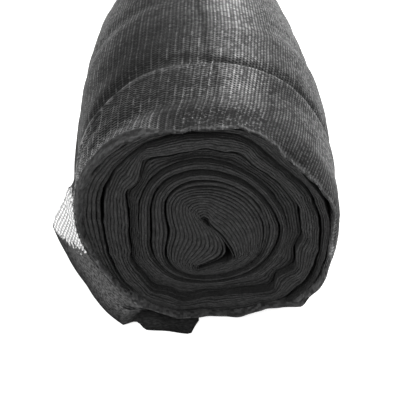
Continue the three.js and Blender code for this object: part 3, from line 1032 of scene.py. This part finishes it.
# %% The knit
RIB_WIDTH = (0.30, 0.74)  # where a rib ends, from its middle, in half pitches
PAIRED_WIDTH = 0.20  # the ribs are narrower by this where they stand out in pairs
COURSE_WIDTH = (0.20, 0.55)
SLANT = 0.5  # of the courses, from rib to rib
STITCH_SHIFT = 0.5  # from rib to rib, in courses
STITCH_DIP = 0.7  # how much thinner the yarn is between two stitches of a rib
GRAIN = (2.0, 1.3)  # specks to a rib and to a course
STREAK = (0.45, 0.02)  # how fast the streaks change with each rib and course
DASH = (7.3, 0.22)  # the same for the breaks in the ribs
DASH_ENDS = (0.40, 0.66)
BREAKS, FEWER = 0.75, 0.30  # how faint paired ribs are at breaks, and how much less where streaky
FAINTER, PAIRED_FAINTER = 0.10, 0.55  # how much fainter every other rib is, and how much more in pairs
CRISP_RIBS = 0.15  # how much lighter crisp ribs are
COURSE_LIGHT, CRISP_LOSS, STREAKY_LOSS = 0.45, 0.25, 0.20  # of the courses, and how much of it they lose


def knit(maker, ribs, courses, paired, slack, streaky, crisp):
    """The net's yarn from the place on the net, with a chance number for each stitch."""
    rib_number = maker.math("FLOOR", ribs)
    along_rib = courses + rib_number * STITCH_SHIFT
    chance = specks(maker, rib_number, along_rib)
    dash = noise(maker, pair(maker, rib_number * DASH[0], courses * DASH[1]))
    odd = maker.math("FRACT", rib_number * 0.5) * 2
    rib = 1 - (ribs.wave() + paired * PAIRED_WIDTH).between(*RIB_WIDTH)
    broken = 1 - (paired * BREAKS - streaky * FEWER) * (1 - slack) * (1 - dash.between(*DASH_ENDS))
    course = 1 - (courses + (ribs * 0.5).wave() * SLANT).wave().between(*COURSE_WIDTH)
    stitch = 1 - along_rib.wave() * STITCH_DIP
    other = 1 - odd * (paired * PAIRED_FAINTER + FAINTER)
    threads = rib * stitch * other * broken * (1 + crisp * CRISP_RIBS)
    across = course * (COURSE_LIGHT - crisp * CRISP_LOSS - streaky * STREAKY_LOSS)
    return maker.math("MAXIMUM", threads, across), chance


print("a stitch is", RIB_PITCH, "by", COURSE_PITCH, "m")

# %% [markdown]
# The yarns are black and a little glossy, and dust makes them grey. How light a place looks depends on how
# much yarn is there, so one number, the amount, drives colour, roughness and gloss alike. Painted shade
# lowers the amount and the grey, painted light raises both, and painted highlights and glints raise the
# amount. On the loose end the holes are truly open: alpha lets the floor show through them, and the double
# net closes most of them.

# %% The see-through net
PATCH_SCALE = 0.8
PLY_PART, PATCH_PART, GRAIN_PART, OPEN = 1.35, 0.9, 0.5, 0.75  # what closes the net, and what opens it
PLY_EDGE = (0.30, 0.60)
VEIL_BASE, VEIL_LINES = 0.4, 1.2  # the veil shows most in the lines
DOT_BASE, DOT_GRAIN, DOT_EDGE = 0.85, 0.4, (0.15, 0.55)
DOT_COVER, HOLE_COVER = 0.62, 0.07  # of the single net's stitches and holes


def net_cover(maker, place, yarn, grain, lines):
    """How much the loose net hides of what is behind it."""
    patches = noise(maker, place, PATCH_SCALE)
    plies = mark(maker, "plies") * PLY_PART + patches * PATCH_PART + grain * GRAIN_PART - OPEN
    double = plies.between(*PLY_EDGE) - mark(maker, "veil") * (VEIL_BASE + lines * VEIL_LINES)
    dots = (yarn * (DOT_BASE + grain * DOT_GRAIN)).between(*DOT_EDGE)
    return maker.math("MAXIMUM", dots * DOT_COVER + HOLE_COVER, double)


print("a single layer hides", HOLE_COVER, "to", round(HOLE_COVER + DOT_COVER, 2), "of what is behind it")

# %% The net's finish
LINE_STEPS = (1.1, 3.0, 1.0)  # fine lines of the double net, to a rib and to a course
LINE_EDGE = (0.30, 0.72)
PLAIN_YARN = 0.42  # the plain lip looks like this much yarn
LINED_YARN, LINE_YARN = 0.20, 0.55  # so does the double net, and its lines add to it
CHANCE, STREAKS, LESS = 1.3, 0.9, 0.10  # a stitch's lightness from chance and from streaks, less this
LINED_EVEN = 0.75  # how much of this is evened out in the double net, and its lightness there
DUST_SCALE, DUST_DETAIL = 420.0, 3.0
PAIRED_LIGHT = 0.06  # paired ribs are lighter by this
PUFFED_HIGHLIGHT, PUFFED_SLACK_HIGHLIGHT = 0.24, 1.3  # the puffed front is lighter by this, as painted highlights, and more where it is slack
SPECKLED_SHADE, FLECK_EDGE, GLINT_LIGHT = 0.80, (0.48, 0.95), 2.1  # painted shade of the speckled net, and its painted glints
BEAD_LIGHT, BEAD_CHANCE = 0.10, 0.30  # of the bead, and how uneven it is
SHADE_YARN, SHADE_DUST = 0.93, 0.5  # how much of the yarn's and the dust's lightness is lost in painted shade, or won in painted light
DUST_BASE, DUST_GREY = 0.2, 1.6
ROUGH, SMOOTHER = 0.9, 0.3  # of the holes, and how much smoother the yarn is
GLOSS, LEAST_GLOSS, SLACK_GLOSS = 1.8, 0.04, 0.85  # of yarn and holes, and the share lost where slack
BUMP_BASE, BUMP_CHANCE, BUMP_DUST = 0.7, 0.6, 0.5  # heights of yarn, of uneven yarn and of dust
COAT_ROUGHNESS, NET_SPECULAR = 0.40, 0.15


def net_material(name, yarn_colour, hole_colour, depth, light, shine, sheer=False):
    """Black net: glossy yarns over darker holes, or over nothing where it is sheer."""
    made, maker, shader = new_material(name)
    paired, slack, streaky, crisp = (mark(maker, look) for look in ("paired", "slack", "streaky", "crisp"))
    plain, lined, bead, shade = (mark(maker, look) for look in ("plain", "lined", "bead", "shade"))
    puffed, speckled = (mark(maker, look) for look in ("puffed", "speckled"))
    place, ribs, courses = net_place(maker)
    knitted, chance = knit(maker, ribs, courses, paired, slack, streaky, crisp)
    grain = specks(maker, ribs * GRAIN[0], courses * GRAIN[1])
    streak = noise(maker, pair(maker, ribs * STREAK[0], courses * STREAK[1]), detail=2.0)
    line_place = maker.node("VectorMath", {"operation": "MULTIPLY"}, {0: place, 1: LINE_STEPS})
    lines = noise(maker, line_place).between(*LINE_EDGE)
    dust = solid_noise(maker, DUST_SCALE, DUST_DETAIL)

    yarn = knitted * (1 - plain) * (1 - lined)
    yarn = yarn + plain * PLAIN_YARN + lined * (LINED_YARN + lines * LINE_YARN)
    uneven = (chance * CHANCE + streak * STREAKS - LESS) * (1 - lined * LINED_EVEN) + lined * LINED_EVEN
    # level holds the painted highlights on the puffed front
    level = light + paired * PAIRED_LIGHT + puffed * (1 - plain) * (PUFFED_HIGHLIGHT + slack * PUFFED_SLACK_HIGHLIGHT)
    # painted shade on the speckled net, with a few painted glints
    painted_shade_and_glints = 1 - speckled * (SPECKLED_SHADE - grain.between(*FLECK_EDGE) * GLINT_LIGHT)
    # bead adds the lightness of the front edge's bead and the painted highlight on the fold along the tie
    # mark
    amount = yarn * uneven * level * painted_shade_and_glints + bead * (BEAD_LIGHT + chance * BEAD_CHANCE)
    # the shade mark: painted shade, and painted light where it is below 0
    amount = amount * (1 - shade * SHADE_YARN)
    threads = blend(maker, amount, (*hole_colour, 1), (*yarn_colour, 1))
    grey = (dust * DUST_GREY + DUST_BASE) * (1 - shade * SHADE_DUST)
    tint = maker.node("CombineColor", {}, {"Red": grey, "Green": grey, "Blue": grey})
    height = yarn * (BUMP_BASE + chance * BUMP_CHANCE) + dust * BUMP_DUST
    sockets = {
        "Base Color": blend(maker, 1.0, threads, tint, "MULTIPLY"),
        "Roughness": ROUGH - amount * SMOOTHER,
        "Coat Weight": (amount * GLOSS + LEAST_GLOSS) * (1 - slack * SLACK_GLOSS) * (1 - plain) * shine,
        "Normal": maker.node("Bump", {}, {"Height": height, "Distance": depth}),
        "Specular IOR Level": NET_SPECULAR,
        "Coat Roughness": COAT_ROUGHNESS,
    }
    if sheer:
        sockets["Alpha"] = net_cover(maker, place, yarn, grain, lines)
    maker.feed(shader, sockets)
    return made


net_outer = net_material(
    "net_outer",
    yarn_colour=(0.130, 0.130, 0.131),
    hole_colour=(0.004, 0.004, 0.004),
    depth=0.00016,
    light=0.31,
    shine=1.15,
)
net_loose = net_material(
    "net_loose",
    yarn_colour=(0.130, 0.130, 0.130),
    hole_colour=(0.010, 0.010, 0.010),
    depth=0.0003,
    light=0.40,
    shine=0.3,
    sheer=True,
)
outer_turn.data.materials.append(net_outer)
loose_net.data.materials.append(net_loose)
print("nodes:", {made.name: len(made.node_tree.nodes) for made in (net_outer, net_loose)})

# %% [markdown]
# Of the wound strip only the folded edges show. There the yarns run round with the turn and no knit can be
# made out, so this finish is simpler: fine lines along the strip with some fuzz, and painted shade inside
# the slit.

# %% The folded edges' finish
EDGE_LINES = (0.5, 14.0)  # how fast the lines change with each rib and course
LINE_DETAIL = 3.0
FUZZ_SCALE, FUZZ_DETAIL = 700.0, 2.0
LINE_PART, FUZZ_PART, FOLD_LOSS, FOLD_EDGE = 0.7, 0.6, 0.15, (0.25, 0.75)
FOLD_SMOOTHER, FOLD_SPECULAR = 0.2, 0.25


def fold_material(name, light, dark, depth):
    """The folded edges of the wound net: fine yarns that run round with the turn, uneven along the way, and
    painted shade inside the slit.
    """
    made, maker, shader = new_material(name)
    _, ribs, courses = net_place(maker)
    lines = noise(maker, pair(maker, ribs * EDGE_LINES[0], courses * EDGE_LINES[1]), detail=LINE_DETAIL)
    fuzz = solid_noise(maker, FUZZ_SCALE, FUZZ_DETAIL)
    amount = (lines * LINE_PART + fuzz * FUZZ_PART - FOLD_LOSS).between(*FOLD_EDGE)
    # painted shade inside the slit
    amount = amount * (1 - mark(maker, "shade"))
    sockets = {
        "Base Color": blend(maker, amount, (*dark, 1), (*light, 1)),
        "Roughness": ROUGH - amount * FOLD_SMOOTHER,
        "Normal": maker.node("Bump", {}, {"Height": amount, "Distance": depth}),
        "Specular IOR Level": FOLD_SPECULAR,
    }
    maker.feed(shader, sockets)
    return made


net_wound = fold_material("net_wound", light=(0.031,) * 3, dark=(0.008,) * 3, depth=0.0003)
wound_turns.data.materials.append(net_wound)
print("nodes:", net_wound.name, len(net_wound.node_tree.nodes))

# %% [markdown]
# ## Floor and light
#
# Black net shows its form by its gloss alone, so the light does the drawing. Two soft boxes behind the
# roll put the streak on its top, a weak one at the right rear keeps that side from going black, and two in
# front open up the end face and the inside of the loose corner. The floor is plain and pale, and shines a
# little itself so that it stays white up to the edges.

# %% Floor
FLOOR_HALF = 6  # metres
FLOOR_LOOK = {
    "Base Color": (0.8, 0.8, 0.8, 1),
    "Roughness": 0.9,
    "Emission Color": (1, 1, 1, 1),
    "Emission Strength": 0.8,
}

floor_mesh = bpy.data.meshes.new("floor")
bm = bmesh.new()
bmesh.ops.create_grid(bm, x_segments=1, y_segments=1, size=FLOOR_HALF)
bm.to_mesh(floor_mesh)
bm.free()
floor = bpy.data.objects.new("floor", floor_mesh)
bpy.context.scene.collection.objects.link(floor)
floor_paint, maker, shader = new_material("floor")
maker.feed(shader, FLOOR_LOOK)
floor_mesh.materials.append(floor_paint)
print("floor", 2 * FLOOR_HALF, "m wide")

# %% Light
SKY = 0.20  # strength of the even light from all round
# name, place, target, size, power
SOFTBOXES = [
    ("low rear softbox", (0.60, 2.75, 0.85), (0, -0.35, 0.15), (0.7, 0.8), 30),
    ("high rear softbox", (0.95, 1.60, 2.50), (0, -0.35, 0.15), (1.7, 0.9), 155),
    ("right rear softbox", (2.0, 2.2, 0.8), (0, -0.35, 0.15), (1.2, 0.8), 6),
    ("front softbox", (-1.6, -2.8, 2.6), (0, -0.5, 0.1), (2.0, 2.0), 70),
    ("front fill", (0.7, -3.0, 1.2), (0, -0.5, 0.1), (1.5, 1.5), 16),
]

world = bpy.data.worlds.new("studio")
world.use_nodes = True
world.node_tree.nodes["Background"].inputs["Strength"].default_value = SKY
world.node_tree.nodes["Background"].inputs["Color"].default_value = (1, 1, 1, 1)
bpy.context.scene.world = world
bpy.context.scene.view_settings.view_transform = "Standard"


def softbox(name, place, target, size, power):
    """A rectangular area light that faces a target."""
    light = bpy.data.objects.new(name, bpy.data.lights.new(name, "AREA"))
    light.data.shape = "RECTANGLE"
    light.data.size, light.data.size_y = size
    light.data.energy = power
    light.location = place
    light.rotation_euler = (Vector(target) - Vector(place)).to_track_quat("-Z", "Y").to_euler()
    bpy.context.scene.collection.objects.link(light)


for box in SOFTBOXES:
    softbox(*box)
print(len(SOFTBOXES), "softboxes,", sum(box[-1] for box in SOFTBOXES), "watts")

# %% [markdown]
# ## Handing over
#
# The roll has no joints, so every piece rides on the one body. The wound turns and the outer turn together
# stand for the roll's solid, and the loose net for the loose end's. All three are cloth: the strip lies
# double, the outer turn is one more round of it, and the loose end is what is left over.

# %% Hand the pieces over
for piece, node, slot in (
    (wound_turns, "net_roll", "net_black"),
    (outer_turn, "net_roll", "net_black"),
    (loose_net, "loose_end", "net_sheer"),
):
    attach(piece, "root")
    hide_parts(node)
